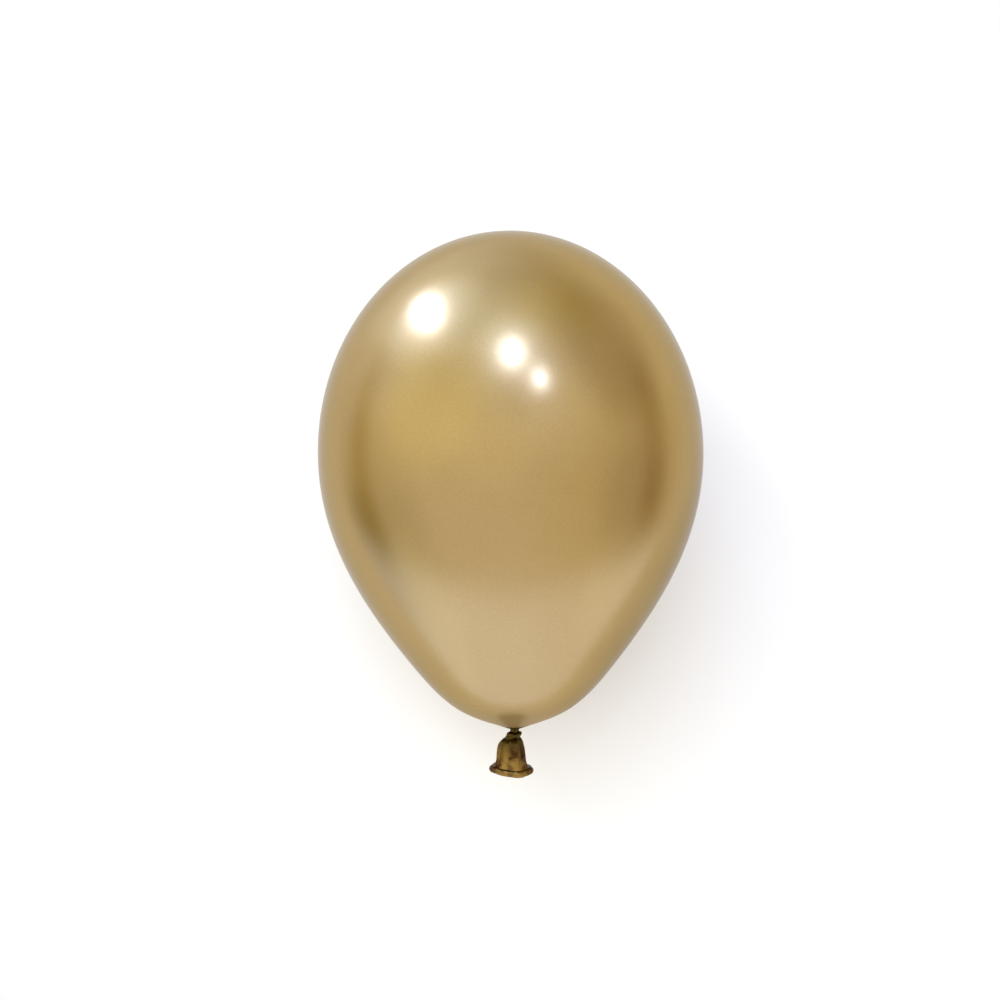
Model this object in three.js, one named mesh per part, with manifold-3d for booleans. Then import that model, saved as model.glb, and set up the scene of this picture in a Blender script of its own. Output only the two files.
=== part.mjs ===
import * as THREE from 'three';
import { mergeVertices } from 'three/addons/utils/BufferGeometryUtils.js';
import Module from 'manifold-3d';

// A latex balloon with a metallic finish, blown up, tied and lying on its side.
// Millimetres, +Z up. The crown points along +Y and the tail along -Y. The origin is the
// centre of the small flat on the belly that the balloon lies on.
//
// The form is worked out about the balloon's own axis first: x and z lie across the axis,
// y runs along it towards the crown, and y = 0 is the widest ring.

// Body, along its own axis
const BODY_DIAMETER = 280;
const CROWN_HEIGHT = 161; // widest ring to the crown
const SHOULDER_DROP = 201; // widest ring to the neck

// Side of the body below the widest ring: across as shares of its radius, down as shares of
// its drop. The flank is where the round belly turns into the hollow sweep to the neck.
const BELLY_PULL = new THREE.Vector2(0.79, 0.534);
const FLANK = new THREE.Vector2(0.547, 0.748);
const FOOT_START = new THREE.Vector2(0.346, 0.925);
const FOOT_PULL = new THREE.Vector2(0.281, 0.948);

// Flat on the belly: how much of the round it takes away
const FLAT_DEPTH = 1.5;

// Tail, down its own axis from the neck
const STALK_DIAMETER = 6;
const STALK_LENGTH = 2; // bare stalk, from the neck to the knot's highest edge
const KNOT_DIAMETER = 11.6;
const KNOT_STRAND = 3.8; // thickness of the film roll that is tied round
const KNOT_CLIMB = 1.4; // how far each turn of the knot climbs from its middle
const BELL_DIAMETER = 20.4;
const BELL_LENGTH = 16.1; // from inside the knot to where the bell's side runs straight
const BELL_WALL = 0.8; // gathered film, not stretched
const LIP_DIAMETER = 30.4;
const FLARE_LENGTH = 8.3; // from the bell's straight side to the middle of the rolled lip
const LIP_BEAD = 4.4; // thickness of the rolled lip

// Where the bell starts: inside the knot, by a share of the knot's strand, and as wide as a
// share of the stalk
const BELL_START_IN_KNOT = 0.2;
const BELL_START_SHARE = 1.15;

// Outline of the bell and its flare: across as shares of the bell's radius, down as shares of
// the bell's or the flare's length. The last one is across as a share of the way to the lip.
const BELL_SHOULDER_PULL = new THREE.Vector2(0.86, 0.06);
const BELL_SIDE_PULL = new THREE.Vector2(0.95, 0.38);
const FLARE_START_PULL = new THREE.Vector2(1.02, 0.4);
const FLARE_END_PULL = new THREE.Vector2(0.58, 0.72);

// The tail sags off the body's axis in a short arc, and is set over to one side of it
const SAG_ANGLE = THREE.MathUtils.degToRad(8);
const SAG_LENGTH = 5;
const TAIL_SHIFT = -2.9;
const SHIFT_LENGTH = 12;

// Folds of the gathered film round the tail, as shares of the radius there. Two waves of
// different counts make them uneven. Turns are the angles, in radians, that each starts at.
const FOLDS = 7;
const FOLDS_TURN = 4.47;
const UNEVEN_FOLDS = 4;
const UNEVEN_TURN = 2;
const UNEVEN_SHARE = 0.28;
const FOLD_SHARE_STALK = 0.1;
const FOLD_SHARE_BELL = 0.11;
const FOLD_SHARE_LIP = 0.045;

// The rolled lip waves along the tail: a saddle, made uneven by a wave of another count.
// It also hangs lower on one side, and its mouth is a little wider than high.
const LIP_WAVE_HEIGHT = 0.5;
const SADDLE_WAVES = 2;
const SADDLE_TURN = Math.PI;
const LIP_UNEVEN_WAVES = 3;
const LIP_UNEVEN_TURN = 3.4;
const LIP_UNEVEN_SHARE = 0.5;
const LIP_TILT_HEIGHT = 1.1;
const LIP_OVAL = 0.05;

// Steps round the axis, and rings along each stretch
const STEPS_ROUND = 56;
const CROWN_RINGS = 12;
const BELLY_RINGS = 11;
const FOOT_RINGS = 9;
const STALK_RINGS = 8;
const BELL_RINGS = 9;
const FLARE_RINGS = 3;
const BEAD_RINGS = 9;

const bodyRadius = BODY_DIAMETER / 2;
const stalkRadius = STALK_DIAMETER / 2;
const beadRadius = LIP_BEAD / 2;
const lipRadius = LIP_DIAMETER / 2 - beadRadius;

// Stations down the tail from the neck
const knotMiddle = STALK_LENGTH + KNOT_CLIMB + KNOT_STRAND / 2;
const bellStart = knotMiddle + BELL_START_IN_KNOT * KNOT_STRAND;
const mouthFloor = knotMiddle + KNOT_STRAND / 2 + BELL_WALL;
const flareStart = bellStart + BELL_LENGTH;
const lipMiddle = flareStart + FLARE_LENGTH;

// The two turns of the knot that show: where each is highest, and its share of the diameter
const KNOT_TURNS = [
  { highAt: THREE.MathUtils.degToRad(10), share: 1 },
  { highAt: THREE.MathUtils.degToRad(150), share: 0.94 },
];

function sidePoint(shares) {
  return new THREE.Vector2(shares.x * bodyRadius, -shares.y * SHOULDER_DROP);
}

// Half outline of the body as (radius, y), from just below the crown to the neck
function bodyOutline() {
  const widest = new THREE.Vector2(bodyRadius, 0);
  // This reach gives the belly the crown's own curvature at the widest ring
  const reach = CROWN_HEIGHT * Math.sqrt((2 / 3) * (1 - BELLY_PULL.x));
  const belly = new THREE.CubicBezierCurve(
    widest,
    new THREE.Vector2(bodyRadius, -reach),
    sidePoint(BELLY_PULL),
    sidePoint(FLANK),
  );
  const foot = new THREE.CubicBezierCurve(
    sidePoint(FLANK),
    sidePoint(FOOT_START),
    sidePoint(FOOT_PULL),
    new THREE.Vector2(stalkRadius, -SHOULDER_DROP),
  );
  const outline = [];
  for (let i = 1; i <= CROWN_RINGS; i += 1) {
    const angle = (i / CROWN_RINGS) * (Math.PI / 2);
    outline.push(new THREE.Vector2(bodyRadius * Math.sin(angle), CROWN_HEIGHT * Math.cos(angle)));
  }
  outline.push(...belly.getPoints(BELLY_RINGS).slice(1));
  outline.push(...foot.getPoints(FOOT_RINGS).slice(1));
  return outline;
}

// Wavy line round the tail, between about -1 and 1: uneven folds
function foldWave(angle) {
  const even = Math.cos(FOLDS * angle + FOLDS_TURN);
  const uneven = Math.cos(UNEVEN_FOLDS * angle + UNEVEN_TURN);
  return THREE.MathUtils.lerp(even, uneven, UNEVEN_SHARE);
}

// Radius of the knot's turns at one place on the tail, or 0 where they don't reach
function knotRadius(drop, angle) {
  const half = KNOT_STRAND / 2;
  let radius = 0;
  for (const turn of KNOT_TURNS) {
    const middle = knotMiddle - KNOT_CLIMB * Math.cos(angle - turn.highAt);
    const away = (drop - middle) / half;
    if (Math.abs(away) < 1) {
      const outer = (KNOT_DIAMETER / 2) * turn.share - half + half * Math.sqrt(1 - away * away);
      radius = Math.max(radius, outer);
    }
  }
  return radius;
}

// Drop added round the lip by its waves and its tilt
function lipWave(angle) {
  const saddle = Math.cos(SADDLE_WAVES * angle + SADDLE_TURN);
  const uneven = Math.cos(LIP_UNEVEN_WAVES * angle + LIP_UNEVEN_TURN);
  const waves = LIP_WAVE_HEIGHT * (saddle + LIP_UNEVEN_SHARE * uneven);
  return waves + LIP_TILT_HEIGHT * Math.cos(angle);
}

// Place on the tail, about the balloon's own axis
function tailPoint(drop, radius, angle) {
  const turned = SAG_ANGLE * Math.min(drop / SAG_LENGTH, 1);
  const arcRadius = SAG_LENGTH / SAG_ANGLE;
  const straight = Math.max(drop - SAG_LENGTH, 0);
  const sagged = arcRadius * (1 - Math.cos(turned)) + straight * Math.sin(turned);
  const along = arcRadius * Math.sin(turned) + straight * Math.cos(turned);
  const shifted = TAIL_SHIFT * THREE.MathUtils.smoothstep(drop, 0, SHIFT_LENGTH);
  const high = radius * Math.sin(angle);
  return new THREE.Vector3(
    shifted + radius * Math.cos(angle),
    -SHOULDER_DROP - along - high * Math.sin(turned),
    high * Math.cos(turned) - sagged,
  );
}

// Outline of the bell as (radius, drop), from under the knot to the middle of the lip
function bellOutline() {
  const bellRadius = BELL_DIAMETER / 2;
  const flareRadius = THREE.MathUtils.lerp(bellRadius, lipRadius, FLARE_END_PULL.x);
  const bellPoint = (pull) => (
    new THREE.Vector2(pull.x * bellRadius, bellStart + pull.y * BELL_LENGTH)
  );
  const side = new THREE.CubicBezierCurve(
    new THREE.Vector2(BELL_START_SHARE * stalkRadius, bellStart),
    bellPoint(BELL_SHOULDER_PULL),
    bellPoint(BELL_SIDE_PULL),
    new THREE.Vector2(bellRadius, flareStart),
  );
  const flare = new THREE.CubicBezierCurve(
    new THREE.Vector2(bellRadius, flareStart),
    new THREE.Vector2(FLARE_START_PULL.x * bellRadius, flareStart + FLARE_START_PULL.y * FLARE_LENGTH),
    new THREE.Vector2(flareRadius, flareStart + FLARE_END_PULL.y * FLARE_LENGTH),
    new THREE.Vector2(lipRadius, lipMiddle),
  );
  return [...side.getPoints(BELL_RINGS), ...flare.getPoints(FLARE_RINGS).slice(1)];
}

// One ring of the tail. Folds are deepest on the bell and shallow at the lip, where the
// ring also waves along the tail and is a little oval.
function tailRing(radius, drop, inset, knotted) {
  const toLip = THREE.MathUtils.smoothstep(drop, flareStart - BELL_LENGTH / 2, lipMiddle);
  const toBell = THREE.MathUtils.smoothstep(drop, 0, bellStart);
  const share = THREE.MathUtils.lerp(
    THREE.MathUtils.lerp(FOLD_SHARE_STALK, FOLD_SHARE_BELL, toBell),
    FOLD_SHARE_LIP,
    toLip,
  );
  const ring = [];
  for (let i = 0; i < STEPS_ROUND; i += 1) {
    const angle = (i / STEPS_ROUND) * Math.PI * 2;
    const oval = 1 + LIP_OVAL * toLip * Math.cos(2 * angle);
    const folded = radius * oval * (1 + share * foldWave(angle)) - inset;
    const outer = knotted ? Math.max(folded, knotRadius(drop, angle)) : folded;
    ring.push(tailPoint(drop + toLip * lipWave(angle), outer, angle));
  }
  return ring;
}

function bodyRing(point) {
  const ring = [];
  const nearNeck = 1 - THREE.MathUtils.smoothstep(point.x, stalkRadius, 3 * stalkRadius);
  for (let i = 0; i < STEPS_ROUND; i += 1) {
    const angle = (i / STEPS_ROUND) * Math.PI * 2;
    const radius = point.x * (1 + nearNeck * FOLD_SHARE_STALK * foldWave(angle));
    ring.push(new THREE.Vector3(radius * Math.cos(angle), point.y, radius * Math.sin(angle)));
  }
  return ring;
}

// Rings of the tail: down the outside, round the rolled lip and back up the inside
function tailRings() {
  const rings = [];
  for (let i = 1; i < STALK_RINGS; i += 1) {
    rings.push(tailRing(stalkRadius, (i / STALK_RINGS) * bellStart, 0, true));
  }
  const bell = bellOutline();
  const aboveLip = bell.filter((point) => point.y < lipMiddle - beadRadius);
  for (const point of aboveLip) {
    rings.push(tailRing(point.x, point.y, 0, true));
  }
  const beadStart = THREE.MathUtils.degToRad(5);
  const beadEnd = THREE.MathUtils.degToRad(290);
  for (let i = 0; i <= BEAD_RINGS; i += 1) {
    const turn = THREE.MathUtils.lerp(beadStart, beadEnd, i / BEAD_RINGS);
    const across = lipRadius + beadRadius * Math.sin(turn);
    rings.push(tailRing(across, lipMiddle - beadRadius * Math.cos(turn), 0, false));
  }
  const inside = aboveLip.filter((point) => point.y > mouthFloor).reverse();
  for (const point of inside) {
    rings.push(tailRing(point.x, point.y, BELL_WALL, false));
  }
  return rings;
}

// Closed skin through rings of equal length, with a point at each end
function skinThrough(startPoint, rings, endPoint) {
  const positions = [...startPoint.toArray()];
  for (const ring of rings) {
    for (const point of ring) {
      positions.push(...point.toArray());
    }
  }
  positions.push(...endPoint.toArray());
  const last = positions.length / 3 - 1;
  const at = (ring, step) => 1 + ring * STEPS_ROUND + (step % STEPS_ROUND);
  const triangles = [];
  for (let step = 0; step < STEPS_ROUND; step += 1) {
    triangles.push(0, at(0, step + 1), at(0, step));
    for (let ring = 0; ring + 1 < rings.length; ring += 1) {
      triangles.push(at(ring, step), at(ring, step + 1), at(ring + 1, step));
      triangles.push(at(ring, step + 1), at(ring + 1, step + 1), at(ring + 1, step));
    }
    triangles.push(at(rings.length - 1, step), at(rings.length - 1, step + 1), last);
  }
  const geometry = new THREE.BufferGeometry();
  geometry.setAttribute('position', new THREE.Float32BufferAttribute(positions, 3));
  geometry.setIndex(triangles);
  return geometry;
}

// How the balloon lies: where its weight sits on the axis, and the spot on the side that is
// straight below it when the balloon has come to rest
function restingPose() {
  const outline = bodyOutline();
  let volume = 0;
  let moment = 0;
  for (let i = 0; i + 1 < outline.length; i += 1) {
    const radius = (outline[i].x + outline[i + 1].x) / 2;
    const slice = Math.PI * radius * radius * (outline[i].y - outline[i + 1].y);
    volume += slice;
    moment += (slice * (outline[i].y + outline[i + 1].y)) / 2;
  }
  const weightAt = moment / volume;
  const belly = outline.filter((point) => Math.abs(point.y) < CROWN_HEIGHT / 2);
  const side = new THREE.SplineCurve(belly);
  let nearest = side.getPoint(0);
  const fineSteps = 2000;
  for (let i = 1; i <= fineSteps; i += 1) {
    const point = side.getPoint(i / fineSteps);
    if (Math.hypot(point.x, point.y - weightAt) < Math.hypot(nearest.x, nearest.y - weightAt)) {
      nearest = point;
    }
  }
  return { contact: nearest, tilt: Math.atan2(weightAt - nearest.y, nearest.x) };
}

const wasm = await Module();
wasm.setup();

function toSolid(geometry) {
  const bare = geometry.clone();
  bare.deleteAttribute('normal');
  bare.deleteAttribute('uv');
  const merged = mergeVertices(bare);
  return new wasm.Manifold(
    new wasm.Mesh({
      numProp: 3,
      vertProperties: new Float32Array(merged.attributes.position.array),
      triVerts: new Uint32Array(merged.index.array),
    }),
  );
}

function toGeometry(solid) {
  const mesh = solid.getMesh();
  const geometry = new THREE.BufferGeometry();
  geometry.setAttribute('position', new THREE.Float32BufferAttribute(mesh.vertProperties, 3));
  geometry.setIndex(new THREE.BufferAttribute(new Uint32Array(mesh.triVerts), 1));
  geometry.computeVertexNormals();
  return geometry;
}

function makeBalloon() {
  const rings = [...bodyOutline().map(bodyRing), ...tailRings()];
  const crown = new THREE.Vector3(0, CROWN_HEIGHT, 0);
  const throat = tailPoint(mouthFloor, 0, 0);
  const skin = skinThrough(crown, rings, throat);

  // Lay it on its side with the resting spot just under the floor
  const pose = restingPose();
  skin.translate(0, -pose.contact.y, pose.contact.x);
  skin.rotateX(pose.tilt);
  skin.translate(0, 0, -FLAT_DEPTH);

  // Everything under the floor is cut off, which leaves the flat
  const floorSize = 2 * BODY_DIAMETER;
  const floor = new THREE.BoxGeometry(floorSize, floorSize, floorSize);
  floor.translate(0, 0, -floorSize / 2);
  return toGeometry(toSolid(skin).subtract(toSolid(floor)));
}

const goldFilm = new THREE.MeshStandardMaterial({ color: 0xbe9f68, roughness: 0.28, metalness: 1 });

const balloon = new THREE.Mesh(makeBalloon(), goldFilm);
balloon.name = 'balloon';

const model = new THREE.Group();
model.name = 'chrome_latex_balloon';
model.add(balloon);

export default model;
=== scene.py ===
import math

import bpy
import numpy as np
from mathutils import Matrix, Quaternion, Vector


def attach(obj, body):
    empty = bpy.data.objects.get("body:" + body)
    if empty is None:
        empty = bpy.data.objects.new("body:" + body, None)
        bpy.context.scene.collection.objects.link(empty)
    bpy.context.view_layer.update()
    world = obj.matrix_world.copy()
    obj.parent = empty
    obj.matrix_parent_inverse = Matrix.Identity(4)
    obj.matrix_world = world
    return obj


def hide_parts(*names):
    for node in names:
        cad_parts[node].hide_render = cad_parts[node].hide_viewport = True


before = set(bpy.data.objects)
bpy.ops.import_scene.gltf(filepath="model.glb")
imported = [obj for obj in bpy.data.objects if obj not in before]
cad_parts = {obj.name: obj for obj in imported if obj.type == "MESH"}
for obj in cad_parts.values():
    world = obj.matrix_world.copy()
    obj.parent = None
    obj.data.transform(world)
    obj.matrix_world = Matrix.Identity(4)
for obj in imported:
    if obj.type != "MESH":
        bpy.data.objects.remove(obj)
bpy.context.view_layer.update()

# The balloon is made about its own axis: x and z lie across it, y runs to the crown, and y = 0
# is the widest ring. All lengths are in metres, and are the same as in the solid model.

# Body, with its outline's points as shares of its radius and of its drop below the widest ring
BODY_DIAMETER = 0.280
CROWN_HEIGHT = 0.161
SHOULDER_DROP = 0.201
BELLY_PULL = (0.79, 0.534)
FLANK = (0.547, 0.748)
FOOT_START = (0.346, 0.925)
FOOT_PULL = (0.281, 0.948)

# How the balloon lies: the crown's rise, and where the widest ring's middle is
CROWN_RISE = math.radians(10.18)
WIDEST_MIDDLE = (0, 0.00748, 0.13916)

# Tail, down its own axis from the neck
STALK_DIAMETER = 0.006
STALK_LENGTH = 0.002
KNOT_DIAMETER = 0.0116
KNOT_STRAND = 0.0038
KNOT_CLIMB = 0.0014
BELL_DIAMETER = 0.0204
BELL_LENGTH = 0.0161
BELL_WALL = 0.0008
LIP_DIAMETER = 0.0304
FLARE_LENGTH = 0.0083
LIP_BEAD = 0.0044
# Shares of the lengths above: where the bell starts, and the pulls of its outline
BELL_START_IN_KNOT = 0.2
BELL_START_SHARE = 1.15
BELL_SHOULDER_PULL = (0.86, 0.06)
BELL_SIDE_PULL = (0.95, 0.38)
FLARE_START_PULL = (1.02, 0.4)
FLARE_END_PULL = (0.58, 0.72)
SAG_ANGLE = math.radians(8)
SAG_LENGTH = 0.005
TAIL_SHIFT = -0.0029
SHIFT_LENGTH = 0.012

# Waves round the axis: (count, turn in radians)
EVEN_FOLDS = (7, 4.47)
UNEVEN_FOLDS = (4, 2.0)
UNEVEN_SHARE = 0.28
FOLD_SHARE_STALK = 0.1
FOLD_SHARE_BELL = 0.11
FOLD_SHARE_LIP = 0.045
LIP_SADDLE = (2, math.pi)
LIP_UNEVEN = (3, 3.4)
LIP_UNEVEN_SHARE = 0.5
LIP_WAVE_HEIGHT = 0.0005
LIP_TILT_HEIGHT = 0.0011
LIP_OVAL = 0.05
# The knot's two turns: which way each one climbs, and its share of the knot's diameter
KNOT_TURNS = ((math.radians(10), 1.0), (math.radians(150), 0.94))
# How far from the axis the neck's folds reach onto the body, in stalk radii, and how far above
# the flare the lip's own folds start to come in, as a share of the bell's length
NECK_FOLD_REACH = 3
LIP_FOLD_START = 0.5
# Where the lip's rolled bead starts and ends, in degrees outward from its side that faces the
# knot
BEAD_FROM = 5
BEAD_TO = 290

# Fine relief that the solid model leaves out
FOLD_SHARPNESS = 0.6
STALK_CREASES = (17, 0.9)
CREASE_DEPTH = 0.00016
BELL_CREASES = (23, 1.7)
BELL_CREASE_DEPTH = 0.0001
LIP_LUMPS = (11, 0.4)
LIP_LUMP_SHARE = 0.07
GATHER_CREASES = ((26, 0.3), (15, 1.9))
GATHER_DEPTH = 0.00035
GATHER_REACH = 0.020
FLAT_BLEND = 0.0006

# How far from the axis the film round the neck is still slack in colour, and in roughness
NECK_SHADE_REACH = 0.012
NECK_ROUGH_REACH = 0.075
# Below the knot the folds' painted highlight and shade come in over this share of the bell's length
PAINTED_LIGHT_OPEN_SHARE = 1.1
# A painted highlight on one side of the slack tail: where round the bell and round the lip,
# how far round as cosines, and how much that side counts against the folds' painted light
LIGHTER_AT_BELL = math.radians(130)
LIGHTER_AT_LIP = math.radians(85)
LIGHTER_REACH_BELL = (0.55, 1.0)
LIGHTER_REACH_LIP = (0.25, 0.85)
LIGHTER_SIDE_SHARE = 0.6
# The change from one to the other, as shares of the bell's length above the flare's start and
# of the flare's length below it
LIGHTER_TURN = (1 / 4, 1 / 3)

# Mesh steps round each ring, and rings along each part
STEPS_ROUND = 288
CROWN_RINGS = 60
BELLY_RINGS = 44
FOOT_RINGS = 46
STALK_RINGS = 36
BELL_RINGS = 44
FLARE_RINGS = 16
BEAD_RINGS = 26

BODY_RADIUS = BODY_DIAMETER / 2
STALK_RADIUS = STALK_DIAMETER / 2
BELL_RADIUS = BELL_DIAMETER / 2
BEAD_RADIUS = LIP_BEAD / 2
LIP_RADIUS = LIP_DIAMETER / 2 - BEAD_RADIUS
KNOT_MIDDLE = STALK_LENGTH + KNOT_CLIMB + KNOT_STRAND / 2
BELL_START = KNOT_MIDDLE + BELL_START_IN_KNOT * KNOT_STRAND
MOUTH_FLOOR = KNOT_MIDDLE + KNOT_STRAND / 2 + BELL_WALL
FLARE_START = BELL_START + BELL_LENGTH
LIP_MIDDLE = FLARE_START + FLARE_LENGTH
ANGLES = np.arange(STEPS_ROUND) / STEPS_ROUND * 2 * math.pi


def mix(a, b, share):
    return a + (b - a) * share


def ease(x, low, high):
    """0 below low, 1 above high, and smooth between."""
    t = np.clip((x - low) / (high - low), 0.0, 1.0)
    return t * t * (3 - 2 * t)


def wave(angle, count_and_turn):
    count, turn = count_and_turn
    return np.cos(count * angle + turn)


def bezier(points, steps):
    """Cubic curve through the first and last of four (radius, along) points."""
    t = np.linspace(0, 1, steps + 1)[:, None]
    p = np.array(points)
    return (1 - t) ** 3 * p[0] + 3 * (1 - t) ** 2 * t * p[1] + 3 * (1 - t) * t**2 * p[2] + t**3 * p[3]


def side_point(shares):
    return (shares[0] * BODY_RADIUS, -shares[1] * SHOULDER_DROP)


def body_outline():
    """(radius, y) from just below the crown to the neck."""
    # This reach bends the belly as much at the widest ring as the crown's ellipse
    reach = CROWN_HEIGHT * math.sqrt(2 / 3 * (1 - BELLY_PULL[0]))
    angle = np.arange(1, CROWN_RINGS + 1) / CROWN_RINGS * math.pi / 2
    crown = np.stack([BODY_RADIUS * np.sin(angle), CROWN_HEIGHT * np.cos(angle)], 1)
    widest = (BODY_RADIUS, 0)
    below_widest = (BODY_RADIUS, -reach)
    flank = side_point(FLANK)
    neck = (STALK_RADIUS, -SHOULDER_DROP)
    belly = bezier([widest, below_widest, side_point(BELLY_PULL), flank], BELLY_RINGS)
    foot = bezier([flank, side_point(FOOT_START), side_point(FOOT_PULL), neck], FOOT_RINGS)
    return np.concatenate([crown, belly[1:], foot[1:]])


def fold_wave(angle):
    """Folds with round crests at 1 and sharp valleys at -1."""
    crest = (1 + wave(angle, EVEN_FOLDS)) / 2
    even = 2 * crest**FOLD_SHARPNESS - 1
    return mix(even, wave(angle, UNEVEN_FOLDS), UNEVEN_SHARE)


def lip_wave(angle):
    """How far the lip hangs below its middle height."""
    waves = wave(angle, LIP_SADDLE) + LIP_UNEVEN_SHARE * wave(angle, LIP_UNEVEN)
    return LIP_WAVE_HEIGHT * waves + LIP_TILT_HEIGHT * np.cos(angle)


def knot_radius(drop, angle):
    """Radius of the knot's two turns, or 0 where they don't reach."""
    half = KNOT_STRAND / 2
    radius = np.zeros_like(angle)
    for high_at, share in KNOT_TURNS:
        middle = KNOT_MIDDLE - KNOT_CLIMB * np.cos(angle - high_at)
        away = np.clip((drop - middle) / half, -1, 1)
        outer = KNOT_DIAMETER / 2 * share - half + half * np.sqrt(1 - away**2)
        radius = np.maximum(radius, np.where(np.abs(away) < 1, outer, 0))
    return radius


def tail_point(drop, radius, angle):
    """A point at a drop down the tail's own axis, which sags and shifts to one side."""
    turned = SAG_ANGLE * np.minimum(drop / SAG_LENGTH, 1)
    arc_radius = SAG_LENGTH / SAG_ANGLE
    straight = np.maximum(drop - SAG_LENGTH, 0)
    sagged = arc_radius * (1 - np.cos(turned)) + straight * np.sin(turned)
    along = arc_radius * np.sin(turned) + straight * np.cos(turned)
    shifted = TAIL_SHIFT * ease(drop, 0, SHIFT_LENGTH)
    high = radius * np.sin(angle)
    x = shifted + radius * np.cos(angle)
    y = -SHOULDER_DROP - along - high * np.sin(turned)
    z = high * np.cos(turned) - sagged
    return np.stack([x, y, z], -1)


def bell_point(pull):
    return (pull[0] * BELL_RADIUS, BELL_START + pull[1] * BELL_LENGTH)


def flare_point(radius, share):
    return (radius, FLARE_START + share * FLARE_LENGTH)


def bell_outline():
    """(radius, drop) from inside the knot to the lip's middle."""
    top = (BELL_START_SHARE * STALK_RADIUS, BELL_START)
    foot = (BELL_RADIUS, FLARE_START)
    side = bezier([top, bell_point(BELL_SHOULDER_PULL), bell_point(BELL_SIDE_PULL), foot], BELL_RINGS)
    out_of_bell = flare_point(FLARE_START_PULL[0] * BELL_RADIUS, FLARE_START_PULL[1])
    into_lip = flare_point(mix(BELL_RADIUS, LIP_RADIUS, FLARE_END_PULL[0]), FLARE_END_PULL[1])
    flare = bezier([foot, out_of_bell, into_lip, (LIP_RADIUS, LIP_MIDDLE)], FLARE_RINGS)
    return np.concatenate([side, flare[1:]])


def tail_ring(radius, drop, inset, knotted):
    """One ring of the tail: folds, fine creases, the knot's turns and the lip's waves."""
    to_lip = ease(drop, FLARE_START - LIP_FOLD_START * BELL_LENGTH, LIP_MIDDLE)
    to_bell = ease(drop, 0, BELL_START)
    share = mix(mix(FOLD_SHARE_STALK, FOLD_SHARE_BELL, to_bell), FOLD_SHARE_LIP, to_lip)
    oval = 1 + LIP_OVAL * to_lip * np.cos(2 * ANGLES)
    folded = radius * oval * (1 + share * fold_wave(ANGLES)) - inset
    fine = CREASE_DEPTH * (1 - to_bell) * wave(ANGLES, STALK_CREASES)
    fine = fine + BELL_CREASE_DEPTH * to_bell * (1 - to_lip) * wave(ANGLES, BELL_CREASES)
    folded = folded + fine
    if knotted:
        folded = np.maximum(folded, knot_radius(drop, ANGLES))
    return tail_point(drop + to_lip * lip_wave(ANGLES), folded, ANGLES)


def body_ring(radius, along):
    """One ring of the body, with creases gathered towards the neck."""
    near_neck = 1 - ease(radius, STALK_RADIUS, NECK_FOLD_REACH * STALK_RADIUS)
    folded = radius * (1 + near_neck * FOLD_SHARE_STALK * fold_wave(ANGLES))
    y = np.full(STEPS_ROUND, along)
    if along < 0:
        gathered = 1 - ease(radius, STALK_RADIUS, GATHER_REACH)
        creases = sum(wave(ANGLES, c) for c in GATHER_CREASES) / len(GATHER_CREASES)
        y = y + GATHER_DEPTH * gathered**2 * creases
    return np.stack([folded * np.cos(ANGLES), y, folded * np.sin(ANGLES)], -1)


def painted_light_round(drop):
    """Painted light round one ring of slack film: painted highlight on the crests and on one side, painted
    shade on the rest.
    """
    turn_start = FLARE_START - LIGHTER_TURN[0] * BELL_LENGTH
    to_lip = ease(drop, turn_start, FLARE_START + LIGHTER_TURN[1] * FLARE_LENGTH)
    crest = (1 + fold_wave(ANGLES)) / 2
    at_bell = ease(np.cos(ANGLES - LIGHTER_AT_BELL), *LIGHTER_REACH_BELL)
    at_lip = ease(np.cos(ANGLES - LIGHTER_AT_LIP), *LIGHTER_REACH_LIP)
    return mix(crest, mix(at_bell, at_lip, to_lip), LIGHTER_SIDE_SHARE)


def balloon_rings():
    """Every ring from the crown to the mouth's floor, with the film's state there.

    Stretch is 1 on the blown-up body and 0 on the tail. Open is 1 on the body and the lip and
    0 where the film is tied. Painted light is the painted highlight and painted shade of the slack
    film round each ring.
    """
    rings = []
    stretch = []
    opened = []
    painted_lights = []
    for radius, along in body_outline():
        rings.append(body_ring(radius, along))
        stretch.append(1.0 if along > 0 else ease(radius, STALK_RADIUS, NECK_SHADE_REACH))
        opened.append(1.0 if along > 0 else ease(radius, STALK_RADIUS, NECK_ROUGH_REACH))
        painted_lights.append(painted_light_round(0))
    for i in range(1, STALK_RINGS):
        rings.append(tail_ring(STALK_RADIUS, i / STALK_RINGS * BELL_START, 0, True))
        opened.append(0.0)
        painted_lights.append(painted_light_round(0))
    bell = bell_outline()
    above_lip = bell[bell[:, 1] < LIP_MIDDLE - BEAD_RADIUS]
    for radius, drop in above_lip:
        rings.append(tail_ring(radius, drop, 0, True))
        opened.append(ease(drop, KNOT_MIDDLE, KNOT_MIDDLE + PAINTED_LIGHT_OPEN_SHARE * BELL_LENGTH))
        painted_lights.append(painted_light_round(drop))
    for turn in np.radians(np.linspace(BEAD_FROM, BEAD_TO, BEAD_RINGS)):
        lumpy = BEAD_RADIUS * (1 + LIP_LUMP_SHARE * wave(turn, LIP_LUMPS))
        across = LIP_RADIUS + lumpy * math.sin(turn)
        rings.append(tail_ring(across, LIP_MIDDLE - lumpy * math.cos(turn), 0, False))
    for radius, drop in above_lip[above_lip[:, 1] > MOUTH_FLOOR][::-1]:
        rings.append(tail_ring(radius, drop, BELL_WALL, False))
    stretch += [0.0] * (len(rings) - len(stretch))
    opened += [1.0] * (len(rings) - len(opened))
    painted_lights += [painted_light_round(LIP_MIDDLE)] * (len(rings) - len(painted_lights))
    return np.array(rings), np.array(stretch), np.array(opened), np.array(painted_lights)


LAY_DOWN = Matrix.Translation(WIDEST_MIDDLE) @ Matrix.Rotation(CROWN_RISE, 4, "X")


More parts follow.
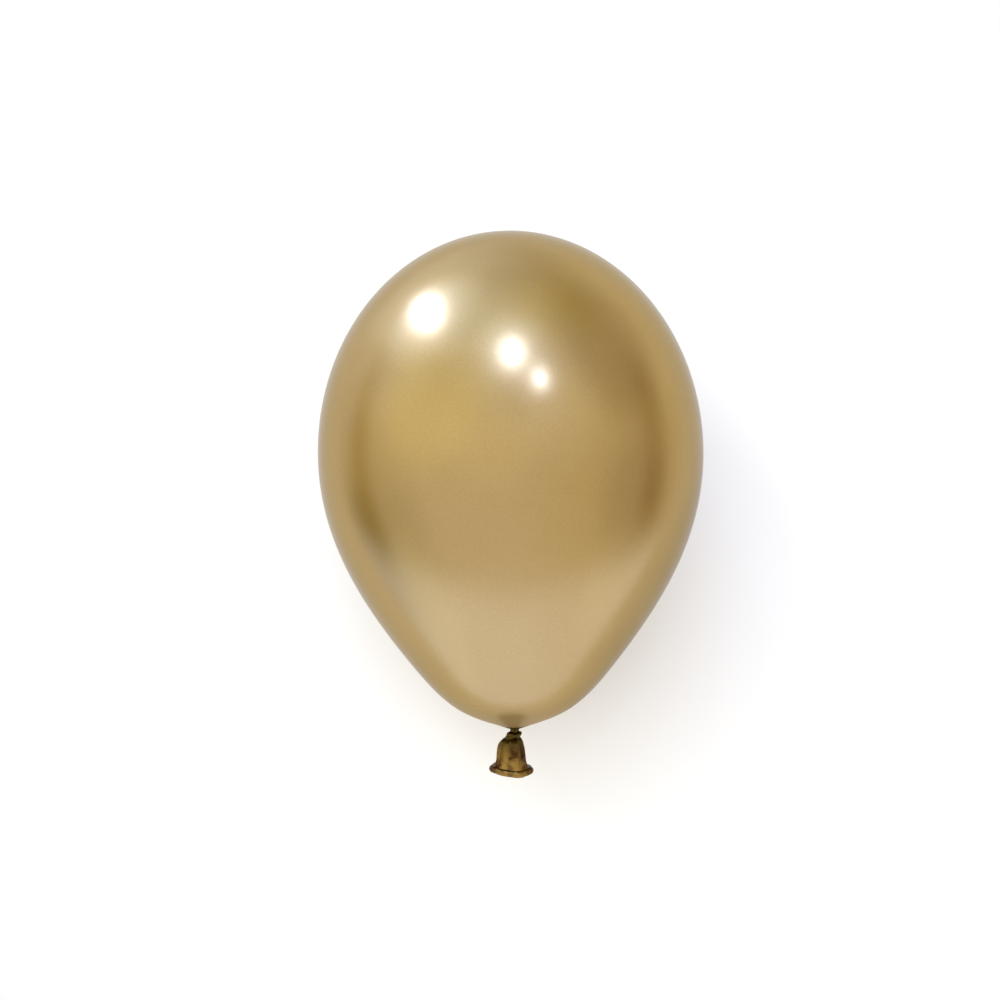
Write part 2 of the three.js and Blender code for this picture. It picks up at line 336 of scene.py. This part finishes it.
def laid_down(points):
    """Points about the balloon's own axis, laid down, with the belly pressed flat."""
    turn_and_move = np.array(LAY_DOWN)
    placed = points @ turn_and_move[:3, :3].T + turn_and_move[:3, 3]
    z = placed[..., 2]
    blended = (z + FLAT_BLEND) ** 2 / (4 * FLAT_BLEND)
    placed[..., 2] = np.where(z < -FLAT_BLEND, 0, np.where(z < FLAT_BLEND, blended, z))
    return placed


def make_balloon():
    """One closed mesh: a point at the crown, the rings, and a point at the mouth's floor."""
    rings, stretch, opened, painted_lights = balloon_rings()
    count = len(rings)
    crown = np.array([0, CROWN_HEIGHT, 0])
    throat = tail_point(MOUTH_FLOOR, 0, 0)
    points = np.concatenate([[crown], rings.reshape(-1, 3), [throat]])
    last = len(points) - 1
    faces = []
    for step in range(STEPS_ROUND):
        after = (step + 1) % STEPS_ROUND
        faces.append((0, 1 + after, 1 + step))
        for ring in range(count - 1):
            here = 1 + ring * STEPS_ROUND
            below = here + STEPS_ROUND
            faces.append((here + step, here + after, below + after, below + step))
        end = 1 + (count - 1) * STEPS_ROUND
        faces.append((end + step, end + after, last))
    mesh = bpy.data.meshes.new("balloon_film")
    mesh.from_pydata(laid_down(points).tolist(), [], faces)
    mesh.shade_smooth()
    states = {
        "stretch": np.repeat(stretch, STEPS_ROUND),
        "open": np.repeat(opened, STEPS_ROUND),
        # The painted light: painted highlight and painted shade on the slack tail's film
        "painted_light": painted_lights.ravel(),
    }
    for name, values in states.items():
        layer = mesh.attributes.new(name, "FLOAT", "POINT")
        # Each state is 1 at the crown and 0 at the mouth's floor
        per_point = np.concatenate([[1], values, [0]])
        layer.data.foreach_set("value", per_point.astype(np.float32))
    piece = bpy.data.objects.new("balloon_film", mesh)
    bpy.context.scene.collection.objects.link(piece)
    return piece


class Nodes:
    """Short ways to add and join nodes in one tree."""

    def __init__(self, owner):
        owner.use_nodes = True
        self.tree = owner.node_tree
        self.tree.nodes.clear()

    def add(self, kind, inputs=None, **settings):
        node = self.tree.nodes.new(kind)
        for name, value in settings.items():
            setattr(node, name, value)
        for name, value in (inputs or {}).items():
            self.put(value, node.inputs[name])
        return node

    def put(self, value, socket):
        """Links an output to the socket, or sets a plain value on it."""
        if isinstance(value, bpy.types.NodeSocket):
            self.tree.links.new(value, socket)
        else:
            socket.default_value = value

    def math(self, operation, *values):
        node = self.add("ShaderNodeMath", operation=operation)
        for i, value in enumerate(values):
            self.put(value, node.inputs[i])
        return node.outputs[0]

    def between(self, value, low, high, start=0.0, end=1.0):
        """start below low, end above high, and smooth between."""
        inputs = {"Value": value, "From Min": low, "From Max": high, "To Min": start, "To Max": end}
        return self.add("ShaderNodeMapRange", inputs, interpolation_type="SMOOTHSTEP").outputs[0]

    def colour(self, share, a, b, blend="MIX"):
        """Colour a mixed with b: the node's colour sockets are inputs 6 and 7 and output 2."""
        node = self.add("ShaderNodeMix", data_type="RGBA", blend_type=blend)
        self.put(share, node.inputs[0])
        self.put(a, node.inputs[6])
        self.put(b, node.inputs[7])
        return node.outputs[2]

    def noise(self, place, scale, detail):
        inputs = {"Vector": place, "Scale": scale, "Detail": detail}
        return self.add("ShaderNodeTexNoise", inputs).outputs["Fac"]


# The film's colours, linear: stretched gold in two shades, then slack deep bronze with a painted
# highlight on the folds' crests and painted shade in their valleys and in the knot, and the tint
# of what it mirrors at a low angle
FILM_GOLD = (0.375, 0.251, 0.091, 1)
FILM_PALE = (0.390, 0.262, 0.098, 1)
SLACK_CREST_PAINTED_HIGHLIGHT = (0.240, 0.140, 0.028, 1)
SLACK_VALLEY_PAINTED_SHADE = (0.040, 0.009, 0.0, 1)
SLACK_KNOT_PAINTED_SHADE = (0.060, 0.036, 0.002, 1)
FILM_EDGE = (0.65, 0.63, 0.575, 1)
FILM_ROUGHNESS = 0.25
SLACK_ROUGHNESS = 0.32
NECK_ROUGHNESS = 0.65
COAT_WEIGHT = 0.15
COAT_ROUGHNESS = 0.10
COAT_IOR = 1.5
GRAIN_STRENGTH = 0.6
GRAIN_DEPTH = 0.00003
# Noises as (scale, detail), and how far they change tone, lightness and roughness
CLOUDS = (14, 3.0)
BLOTCHES = (260, 2.0)
SPECKLE = (900, 2.0)
GRAIN = (420, 3.0)
BLOTCH_TONE = 0.22
SPECKLE_LIGHT = 0.04
CLOUD_ROUGHNESS = 0.015
# Between which values of a noise, the painted light or a state of the film its whole effect lies
NOISE_SPAN = (0.3, 0.7)
CLOUD_SPAN = (0.35, 0.65)
PAINTED_LIGHT_SPAN = (0.15, 0.95)
STATE_SPAN = (0.0, 0.9)
TAIL_ROUGH_SPAN = (0.0, 0.3)


def gold_film():
    """Metallic pigment in latex: pale gold where stretched, deep bronze where it is slack, with a painted
    highlight and painted shade on the slack tail's folds and knot.
    """
    material = bpy.data.materials.new("gold_film")
    n = Nodes(material)
    place = n.add("ShaderNodeTexCoord").outputs["Object"]
    stretch = n.add("ShaderNodeAttribute", attribute_name="stretch").outputs["Fac"]
    opened = n.add("ShaderNodeAttribute", attribute_name="open").outputs["Fac"]
    painted_light = n.add("ShaderNodeAttribute", attribute_name="painted_light").outputs["Fac"]
    clouds = n.noise(place, *CLOUDS)
    blotches = n.between(n.noise(place, *BLOTCHES), *NOISE_SPAN, -BLOTCH_TONE, BLOTCH_TONE)
    speckle = n.noise(place, *SPECKLE)
    gold = n.colour(n.between(clouds, *CLOUD_SPAN), FILM_GOLD, FILM_PALE)
    # Painted highlight on the folds' crests and one side of the tail and painted shade in their valleys,
    # with random blotches
    painted_light_and_blotches = n.math("ADD", painted_light, blotches)
    folds_with_painted_light = n.colour(n.between(painted_light_and_blotches, *PAINTED_LIGHT_SPAN), SLACK_VALLEY_PAINTED_SHADE, SLACK_CREST_PAINTED_HIGHLIGHT)
    # The tied knot and stalk: the slack film's deep colour with painted shade
    slack_with_painted_shade = n.colour(opened, SLACK_KNOT_PAINTED_SHADE, folds_with_painted_light)
    base = n.colour(n.between(stretch, *STATE_SPAN), slack_with_painted_shade, gold)
    fleck = n.between(speckle, *NOISE_SPAN, 1 - SPECKLE_LIGHT, 1 + SPECKLE_LIGHT)
    grey = n.add("ShaderNodeCombineColor", {0: fleck, 1: fleck, 2: fleck}).outputs[0]
    flecked = n.colour(1.0, base, grey, "MULTIPLY")
    near_neck = n.between(opened, *STATE_SPAN, NECK_ROUGHNESS, FILM_ROUGHNESS)
    even_rough = n.between(stretch, *TAIL_ROUGH_SPAN, SLACK_ROUGHNESS, near_neck)
    uneven_rough = n.between(clouds, *NOISE_SPAN, -CLOUD_ROUGHNESS, CLOUD_ROUGHNESS)
    rough = n.math("ADD", even_rough, uneven_rough)
    grain = n.noise(place, *GRAIN)
    bump = {"Height": grain, "Strength": GRAIN_STRENGTH, "Distance": GRAIN_DEPTH}
    bumped = n.add("ShaderNodeBump", bump).outputs["Normal"]
    shader = n.add(
        "ShaderNodeBsdfPrincipled",
        {
            "Base Color": flecked,
            "Normal": bumped,
            "Metallic": 1.0,
            "Roughness": rough,
            "Specular Tint": FILM_EDGE,
            "Coat Weight": COAT_WEIGHT,
            "Coat Roughness": COAT_ROUGHNESS,
            "Coat IOR": COAT_IOR,
        },
    )
    n.add("ShaderNodeOutputMaterial", {"Surface": shader.outputs[0]})
    return material


balloon = make_balloon()
balloon.data.materials.append(gold_film())
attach(balloon, "root")
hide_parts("balloon")

# The camera looks down from above, square to the balloon's axis, with the crown up in the picture
PICTURE_PIXELS = 1000
METRES_PER_PIXEL = 0.0007285
CAMERA_DISTANCE = 1.6
# The sensor's width is in millimetres, as a camera's lens is
SENSOR_WIDTH = 36
# Where the widest ring's centre falls, right of and above the picture's middle
WIDEST_RIGHT_PIXELS = 10.5
WIDEST_UP_PIXELS = 47.4
# How far the crown leans to the right in the picture
LEAN = math.radians(0.9)

ACROSS = Vector((1, 0, 0))
TO_CROWN = (LAY_DOWN.to_3x3() @ Vector((0, 1, 0))).normalized()
TO_CAMERA = (LAY_DOWN.to_3x3() @ Vector((0, 0, 1))).normalized()
WIDEST = Vector(WIDEST_MIDDLE)


def from_view(right, up, back):
    """A direction in the part's frame, from its shares to the right, the crown and the camera."""
    return (ACROSS * right + TO_CROWN * up + TO_CAMERA * back).normalized()


def make_camera():
    data = bpy.data.cameras.new("camera")
    data.sensor_width = SENSOR_WIDTH
    data.lens = SENSOR_WIDTH * CAMERA_DISTANCE / (METRES_PER_PIXEL * PICTURE_PIXELS)
    camera = bpy.data.objects.new("camera", data)
    up = TO_CROWN * math.cos(LEAN) + ACROSS * math.sin(LEAN)
    right = ACROSS * math.cos(LEAN) - TO_CROWN * math.sin(LEAN)
    aim = WIDEST - (right * WIDEST_RIGHT_PIXELS + up * WIDEST_UP_PIXELS) * METRES_PER_PIXEL
    turn = Matrix((right, up, TO_CAMERA)).transposed().to_4x4()
    camera.matrix_world = Matrix.Translation(aim + TO_CAMERA * CAMERA_DISTANCE) @ turn
    bpy.context.scene.collection.objects.link(camera)
    bpy.context.scene.camera = camera


# Floor: it fades over the fade's width, and is clear from just inside its rim
FLOOR_RADIUS = 0.56
FLOOR_FADE = 0.10
FLOOR_RIM = 0.002
FLOOR_SIDES = 72
FLOOR_CENTRE = (0.04, 0.0, 0.0)
FLOOR_COLOUR = (0.92, 0.90, 0.85, 1)


def make_floor():
    """A pale round sheet, which fades into the white surround at its edge."""
    angles = ANGLES[:: STEPS_ROUND // FLOOR_SIDES]
    ring = np.stack([np.cos(angles), np.sin(angles), 0 * angles], -1) * FLOOR_RADIUS
    mesh = bpy.data.meshes.new("floor")
    mesh.from_pydata((ring + np.array(FLOOR_CENTRE)).tolist(), [], [tuple(range(len(angles)))])
    floor = bpy.data.objects.new("floor", mesh)
    bpy.context.scene.collection.objects.link(floor)
    material = bpy.data.materials.new("floor")
    n = Nodes(material)
    place = n.add("ShaderNodeTexCoord").outputs["Object"]
    ends = {0: place, 1: FLOOR_CENTRE}
    away = n.add("ShaderNodeVectorMath", ends, operation="DISTANCE").outputs["Value"]
    sheet = n.add("ShaderNodeBsdfDiffuse", {"Color": FLOOR_COLOUR})
    clear = n.add("ShaderNodeBsdfTransparent")
    edge = n.between(away, FLOOR_RADIUS - FLOOR_FADE, FLOOR_RADIUS - FLOOR_RIM)
    shader = n.add("ShaderNodeMixShader", {0: edge, 1: sheet.outputs[0], 2: clear.outputs[0]})
    n.add("ShaderNodeOutputMaterial", {"Surface": shader.outputs[0]})
    mesh.materials.append(material)
    return floor


# The studio round the balloon: a soft even light with large soft areas of more or less light.
# Each area is (colour it adds, windows), and lies where all its windows meet. A window is
# (direction to the right, the crown and the camera, least cosine, most cosine, softness), and
# one with OPEN for a cosine has no limit on that side.
STUDIO_LIGHT = (1.22, 1.23, 1.32)
OPEN = 2.0
STUDIO_AREAS = (
    # Bright window on the tail's side, down to the floor
    ((0.33, 0.48, 1.14), (((0.0, -0.857, -0.514), 0.50, OPEN, 0.10),)),
    # Soft light from the upper left, and lighter places at the left, in the middle and at the right
    ((0.16, 0.25, 0.52), (((0.0, 0.984, -0.177), 0.575, OPEN, 0.035), ((1.0, 0.0, 0.0), -OPEN, 0.05, 0.3))),
    ((0.31, 0.33, 0.10), (((-0.70, 0.37, 0.61), 0.90, OPEN, 0.10),)),
    ((0.14, 0.14, 0.04), (((-0.18, 0.21, 0.96), 0.91, OPEN, 0.09),)),
    ((0.13, 0.17, 0.33), (((0.50, 0.34, 0.80), 0.92, OPEN, 0.07),)),
    # Glow round the left lamp and the crown lamp, and small changes near them
    ((0.13, 0.19, 0.32), (((-0.58, 0.80, -0.10), 0.80, OPEN, 0.15),)),
    ((-0.07, -0.05, -0.04), (((-0.65, 0.72, 0.23), 0.88, OPEN, 0.08),)),
    ((0.05, 0.07, 0.03), (((0.30, 0.74, 0.60), 0.78, OPEN, 0.10),)),
    ((-0.09, -0.09, -0.06), (((0.07, 0.95, -0.28), 0.94, OPEN, 0.05),)),
    ((0.09, 0.09, 0.01), (((-0.97, 0.13, 0.19), 0.955, OPEN, 0.035),)),
    ((0.51, 0.73, 1.46), (((-0.56, 0.81, 0.06), 0.94, OPEN, 0.045),)),
    ((0.38, 0.58, 1.25), (((0.02, 0.76, 0.65), 0.957, OPEN, 0.037),)),
    ((0.16, 0.25, 0.47), (((0.08, 0.74, 0.67), 0.85, OPEN, 0.13),)),
    # Less light under the crown lamp and over it, and more to its right
    ((-0.26, -0.34, -0.40), (((0.16, 0.57, 0.81), 0.955, OPEN, 0.04),)),
    ((-0.18, -0.20, -0.23), (((-0.05, 0.84, 0.53), 0.75, OPEN, 0.15),)),
    ((0.15, 0.14, 0.04), (((0.34, 0.90, 0.26), 0.955, OPEN, 0.04),)),
    # Darker behind the crown, on the right side, and most at the upper right
    ((-0.16, -0.17, -0.31), (((0.0, 1.0, 0.0), 0.80, OPEN, 0.15),)),
    ((-0.08, -0.13, -0.33), (((1.0, 0.0, 0.0), 0.35, OPEN, 0.35),)),
    ((-0.34, -0.37, -0.36), (((0.75, 0.65, 0.14), 0.88, OPEN, 0.10),)),
    # A lighter band low at the upper right, and lighter places at the foot's two sides
    ((0.14, 0.17, 0.18), (((0.60, 0.60, -0.53), 0.88, OPEN, 0.10),)),
    ((0.15, 0.21, 0.26), (((-0.69, -0.72, -0.02), 0.95, OPEN, 0.045),)),
    ((0.09, 0.12, 0.09), (((0.77, -0.64, -0.03), 0.95, OPEN, 0.05),)),
    # Dark upright edges at the right and at the left, and the dark corners under them
    ((-0.27, -0.33, -0.45), (((1.0, 0.0, 0.0), 0.90, OPEN, 0.08), ((0.0, 0.0, 1.0), -0.22, 0.08, 0.10))),
    ((-0.25, -0.34, -0.63), (((-1.0, 0.0, 0.0), 0.84, OPEN, 0.10), ((0.0, 0.0, 1.0), -0.30, -0.05, 0.10))),
    ((-0.22, -0.24, -0.38), (((-0.91, -0.37, -0.04), 0.87, OPEN, 0.12),)),
    ((-0.28, -0.28, -0.30), (((-0.84, -0.45, -0.30), 0.955, OPEN, 0.035),)),
    ((-0.27, -0.29, -0.25), (((0.95, -0.28, 0.14), 0.925, OPEN, 0.07),)),
)


def make_studio():
    """The studio's light as what the film mirrors; the camera itself sees plain white."""
    world = bpy.data.worlds.new("studio")
    bpy.context.scene.world = world
    n = Nodes(world)
    towards = n.add("ShaderNodeTexCoord").outputs["Generated"]
    total = n.add("ShaderNodeCombineXYZ", dict(zip("XYZ", STUDIO_LIGHT))).outputs[0]
    for colour, windows in STUDIO_AREAS:
        share = 1.0
        for direction, least, most, soft in windows:
            inputs = {0: towards, 1: from_view(*direction)}
            cosine = n.add("ShaderNodeVectorMath", inputs, operation="DOT_PRODUCT").outputs["Value"]
            if least > -OPEN:
                above = n.between(cosine, least - soft, least + soft)
                share = n.math("MULTIPLY", share, above)
            if most < OPEN:
                below = n.between(cosine, most - soft, most + soft, 1.0, 0.0)
                share = n.math("MULTIPLY", share, below)
        dimmed = {0: colour, "Scale": share}
        added = n.add("ShaderNodeVectorMath", dimmed, operation="SCALE").outputs[0]
        total = n.add("ShaderNodeVectorMath", {0: total, 1: added}, operation="ADD").outputs[0]
    light = n.add("ShaderNodeBackground", {"Color": total, "Strength": 1.0})
    plain = n.add("ShaderNodeBackground", {"Color": (1, 1, 1, 1), "Strength": 1.0})
    seen = n.add("ShaderNodeLightPath").outputs["Is Camera Ray"]
    shader = n.add("ShaderNodeMixShader", {0: seen, 1: light.outputs[0], 2: plain.outputs[0]})
    n.add("ShaderNodeOutputWorld", {"Surface": shader.outputs[0]})


# Lamps: how far each stands from the widest ring's middle to the right, to the crown and to the
# camera, its width and height, how far it turns about its own axis in degrees, and its power.
# The balloon's lamps light it alone, and are blue enough to look white in the gold film. The
# floor's lamp lights the floor alone.
BALLOON_LAMP_COLOUR = (1.0, 1.42, 3.6)
BALLOON_LAMPS = (
    ("lamp_left", (-0.768, 1.064, 0.080), (0.235, 0.555), -6, 3.3),
    ("lamp_crown", (0.040, 1.140, 1.180), (0.29, 0.32), 0, 2.3),
    ("lamp_right", (0.450, 0.845, 1.330), (0.158, 0.158), 0, 1.05),
)
FLOOR_LAMP_COLOUR = (1.0, 1.0, 1.0)
FLOOR_LAMP = ("lamp_floor", (-0.90, 1.00, 0.75), (0.6, 0.6), 0, 5.0)


def alone(piece):
    """A collection of one piece, for a lamp that lights it alone."""
    collection = bpy.data.collections.new("lit_" + piece.name)
    collection.objects.link(piece)
    return collection


def make_lamp(lit, colour, name, place, size, turn, power):
    data = bpy.data.lights.new(name, "AREA")
    data.shape = "ELLIPSE"
    data.size, data.size_y = size
    data.color = colour
    data.energy = power
    lamp = bpy.data.objects.new(name, data)
    offset = ACROSS * place[0] + TO_CROWN * place[1] + TO_CAMERA * place[2]
    lamp.location = WIDEST + offset
    lamp.rotation_mode = "QUATERNION"
    own_turn = Quaternion((0, 0, 1), math.radians(turn))
    lamp.rotation_quaternion = offset.to_track_quat("Z", "Y") @ own_turn
    lamp.visible_camera = False
    lamp.light_linking.receiver_collection = lit
    bpy.context.scene.collection.objects.link(lamp)


make_camera()
floor = make_floor()
make_studio()
balloon_alone = alone(balloon)
for lamp in BALLOON_LAMPS:
    make_lamp(balloon_alone, BALLOON_LAMP_COLOUR, *lamp)
make_lamp(alone(floor), FLOOR_LAMP_COLOUR, *FLOOR_LAMP)
bpy.context.scene.view_settings.view_transform = "Standard"
